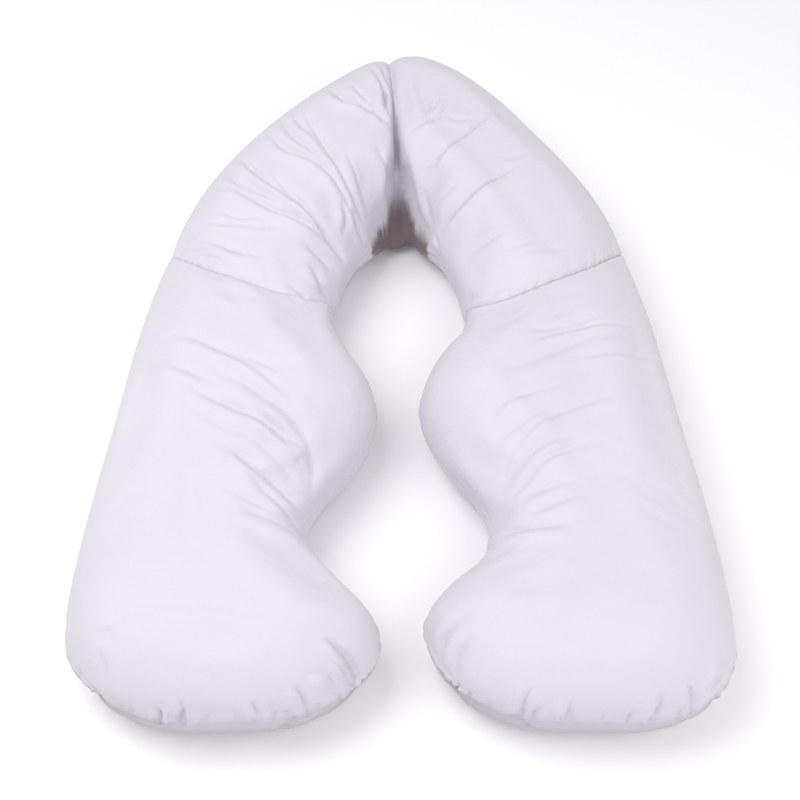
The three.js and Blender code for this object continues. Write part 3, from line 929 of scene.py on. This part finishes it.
def percale(settings):
    """White cotton percale: matt, with a fine plain weave and a soft uneven look."""
    # Percale is a close plain weave of fine threads, washed and not glazed: it scatters light
    # evenly, shows a faint nap along its edges, and its thin cloth crumples in soft shallow dents.
    material = bpy.data.materials.new("white cotton percale")
    material.use_nodes = True
    shader = material.node_tree.nodes["Principled BSDF"]
    shader.inputs["Roughness"].default_value = settings.cotton_roughness
    shader.inputs["Specular IOR Level"].default_value = COTTON_SPECULAR
    shader.inputs["Sheen Weight"].default_value = COTTON_NAP
    shader.inputs["Sheen Roughness"].default_value = COTTON_NAP_ROUGHNESS
    place = add_node(material, "ShaderNodeTexCoord")
    cloth, where = place.outputs["UV"], place.outputs["Object"]
    links = material.node_tree.links
    # the base colour carries painted shade deep in the fold and under the feet's seam
    links.new(cotton_tint(material, settings, where), shader.inputs["Base Color"])
    links.new(cotton_relief(material, settings, where, cloth), shader.inputs["Normal"])
    return material


def painted_floor(colour):
    """A studio floor of matt white paint, which gives a pale even ground."""
    # Matt paint rolled on a board: no gloss, and a hardly visible unevenness from the roller.
    material = bpy.data.materials.new("matt painted floor")
    material.use_nodes = True
    shader = material.node_tree.nodes["Principled BSDF"]
    shader.inputs["Roughness"].default_value = PAINT_ROUGHNESS
    shader.inputs["Specular IOR Level"].default_value = PAINT_SPECULAR
    shader.inputs["Base Color"].default_value = (*colour, 1)
    place = add_node(material, "ShaderNodeTexCoord")
    stipple = add_node(
        material,
        "ShaderNodeTexNoise",
        [("Vector", place.outputs["Object"])],
        Scale=1 / ROLLER_GRAIN,
    )
    relief = add_node(
        material,
        "ShaderNodeBump",
        [("Height", stipple.outputs["Fac"])],
        Distance=ROLLER_RELIEF,
    )
    material.node_tree.links.new(relief.outputs["Normal"], shader.inputs["Normal"])
    return material


# Stage, light and camera, sizes in metres and power in watts

FLOOR_SIZE = 8.0
CAMERA_TARGET = Vector((0.0012, -0.1064, 0.06))
CAMERA_ELEVATION = math.radians(50)
CAMERA_DISTANCE = 2.4
CAMERA_LENS = 64.8
CAMERA_SENSOR = 36.0

Lamp = namedtuple("Lamp", "name place size power")
LAMPS = (
    Lamp("key light", (-1.3, -0.2, 2.7), 2.3, 44),
    Lamp("fill light", (1.8, -2.0, 2.3), 2.8, 33),
)
SKY_STRENGTH = 0.64


def lay_floor(settings):
    """The floor that the pillow lies on."""
    bm = bmesh.new()
    bmesh.ops.create_grid(bm, x_segments=1, y_segments=1, size=FLOOR_SIZE / 2)
    mesh = bpy.data.meshes.new("studio_floor")
    bm.to_mesh(mesh)
    bm.free()
    mesh.materials.append(painted_floor(settings.floor_colour))
    floor = bpy.data.objects.new("studio_floor", mesh)
    bpy.context.collection.objects.link(floor)


def hang_lamp(lamp, brightness):
    """A large soft lamp that points at the pillow."""
    data = bpy.data.lights.new(lamp.name, "AREA")
    data.shape = "DISK"
    data.size = lamp.size
    data.energy = lamp.power * brightness
    made = bpy.data.objects.new(lamp.name, data)
    made.location = lamp.place
    made.rotation_euler = (-Vector(lamp.place)).to_track_quat("-Z", "Y").to_euler()
    bpy.context.collection.objects.link(made)


def light_sky(strength):
    """Even white light from all round, as from the walls of a white studio."""
    world = bpy.data.worlds.new("white studio")
    world.use_nodes = True
    background = world.node_tree.nodes["Background"]
    background.inputs["Color"].default_value = (1, 1, 1, 1)
    background.inputs["Strength"].default_value = strength
    bpy.context.scene.world = world


def place_camera():
    """The camera, which looks down at the pillow from beyond its feet."""
    data = bpy.data.cameras.new("camera")
    data.sensor_width = CAMERA_SENSOR
    data.lens = CAMERA_LENS
    camera = bpy.data.objects.new("camera", data)
    back, up = math.cos(CAMERA_ELEVATION), math.sin(CAMERA_ELEVATION)
    camera.location = CAMERA_TARGET + Vector((0, -back, up)) * CAMERA_DISTANCE
    camera.rotation_euler = (math.pi / 2 - CAMERA_ELEVATION, 0, 0)
    bpy.context.collection.objects.link(camera)
    bpy.context.scene.camera = camera


# Add-on

class PillowSettings(bpy.types.PropertyGroup):
    """Sizes and colours of the pillow that a user would change."""

    crease_share: bpy.props.FloatProperty(
        name="Crease depth",
        description="How deep the creases and gathers are, as a share of the real ones",
        default=1.0,
        min=0.0,
        max=1.5,
        subtype="FACTOR",
    )
    cotton_colour: bpy.props.FloatVectorProperty(
        name="Cotton colour",
        description="Main colour of the cotton",
        default=linear("#d9d5dd"),
        size=3,
        min=0.0,
        max=1.0,
        subtype="COLOR",
    )
    cotton_shade: bpy.props.FloatVectorProperty(
        name="Cotton shade",
        description="Colour of the cotton's slightly darker clouds",
        default=linear("#d4d0d9"),
        size=3,
        min=0.0,
        max=1.0,
        subtype="COLOR",
    )
    # painted shade: the colour mixed in deep in the fold and under the feet's seam
    painted_shade_colour: bpy.props.FloatVectorProperty(
        name="Shaded colour",
        description="Colour of the cotton where little light gets in, as deep in the fold",
        default=linear("#7b6d71"),
        size=3,
        min=0.0,
        max=1.0,
        subtype="COLOR",
    )
    cotton_roughness: bpy.props.FloatProperty(
        name="Cotton roughness",
        description="How matt the cotton is",
        default=0.88,
        min=0.0,
        max=1.0,
        subtype="FACTOR",
    )
    thread_spacing: bpy.props.FloatProperty(
        name="Thread spacing",
        description="Distance between the ribs of the weave, drawn coarser than the real 0.4 mm",
        default=0.0024,
        min=0.0004,
        unit="LENGTH",
    )
    floor_colour: bpy.props.FloatVectorProperty(
        name="Floor colour",
        description="Colour of the studio floor",
        default=linear("#fbfafc"),
        size=3,
        min=0.0,
        max=1.0,
        subtype="COLOR",
    )
    brightness: bpy.props.FloatProperty(
        name="Lamp brightness",
        description="Share of the studio lamps' full power",
        default=1.0,
        min=0.0,
        subtype="FACTOR",
    )


class PILLOW_OT_make_cushions(bpy.types.Operator):
    """Sew, stuff and crease the cover, and cut it into its three sewn-together pieces"""

    bl_idname = "pillow.make_cushions"
    bl_label = "Make the stuffed cushions"

    def execute(self, context):
        settings = context.scene.pillow
        cover = sew_cover()
        stuff(cover)
        refine(cover)
        crease(cover, settings.crease_share)
        cotton = percale(settings)
        for piece in PIECES:
            made = cut_piece(cover, piece)
            made.data.materials.append(cotton)
            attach(made, "root")
            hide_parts(piece.node)
        bpy.data.objects.remove(cover)
        return {"FINISHED"}


class PILLOW_OT_set_stage(bpy.types.Operator):
    """Lay the floor, hang the lamps and place the camera"""

    bl_idname = "pillow.set_stage"
    bl_label = "Set the stage"

    def execute(self, context):
        settings = context.scene.pillow
        lay_floor(settings)
        for lamp in LAMPS:
            hang_lamp(lamp, settings.brightness)
        light_sky(SKY_STRENGTH * settings.brightness)
        place_camera()
        context.scene.view_settings.view_transform = "Standard"
        return {"FINISHED"}


class PILLOW_PT_panel(bpy.types.Panel):
    """Pillow settings and the steps that make it"""

    bl_label = "Pregnancy Pillow"
    bl_idname = "PILLOW_PT_panel"
    bl_space_type = "VIEW_3D"
    bl_region_type = "UI"
    bl_category = "Pillow"

    def draw(self, context):
        settings = context.scene.pillow
        for name in PillowSettings.__annotations__:
            self.layout.prop(settings, name)
        for operator in STEPS:
            self.layout.operator(operator.bl_idname)


STEPS = (PILLOW_OT_make_cushions, PILLOW_OT_set_stage)
CLASSES = (PillowSettings, *STEPS, PILLOW_PT_panel)


def register():
    """Makes the settings, the steps and the panel known to Blender."""
    for each in CLASSES:
        bpy.utils.register_class(each)
    bpy.types.Scene.pillow = bpy.props.PointerProperty(type=PillowSettings)


def unregister():
    """Takes them away again."""
    del bpy.types.Scene.pillow
    for each in reversed(CLASSES):
        bpy.utils.unregister_class(each)


def main():
    """Builds the pillow and its stage."""
    register()
    bpy.ops.pillow.make_cushions()
    bpy.ops.pillow.set_stage()


if __name__ == "__main__":
    main()
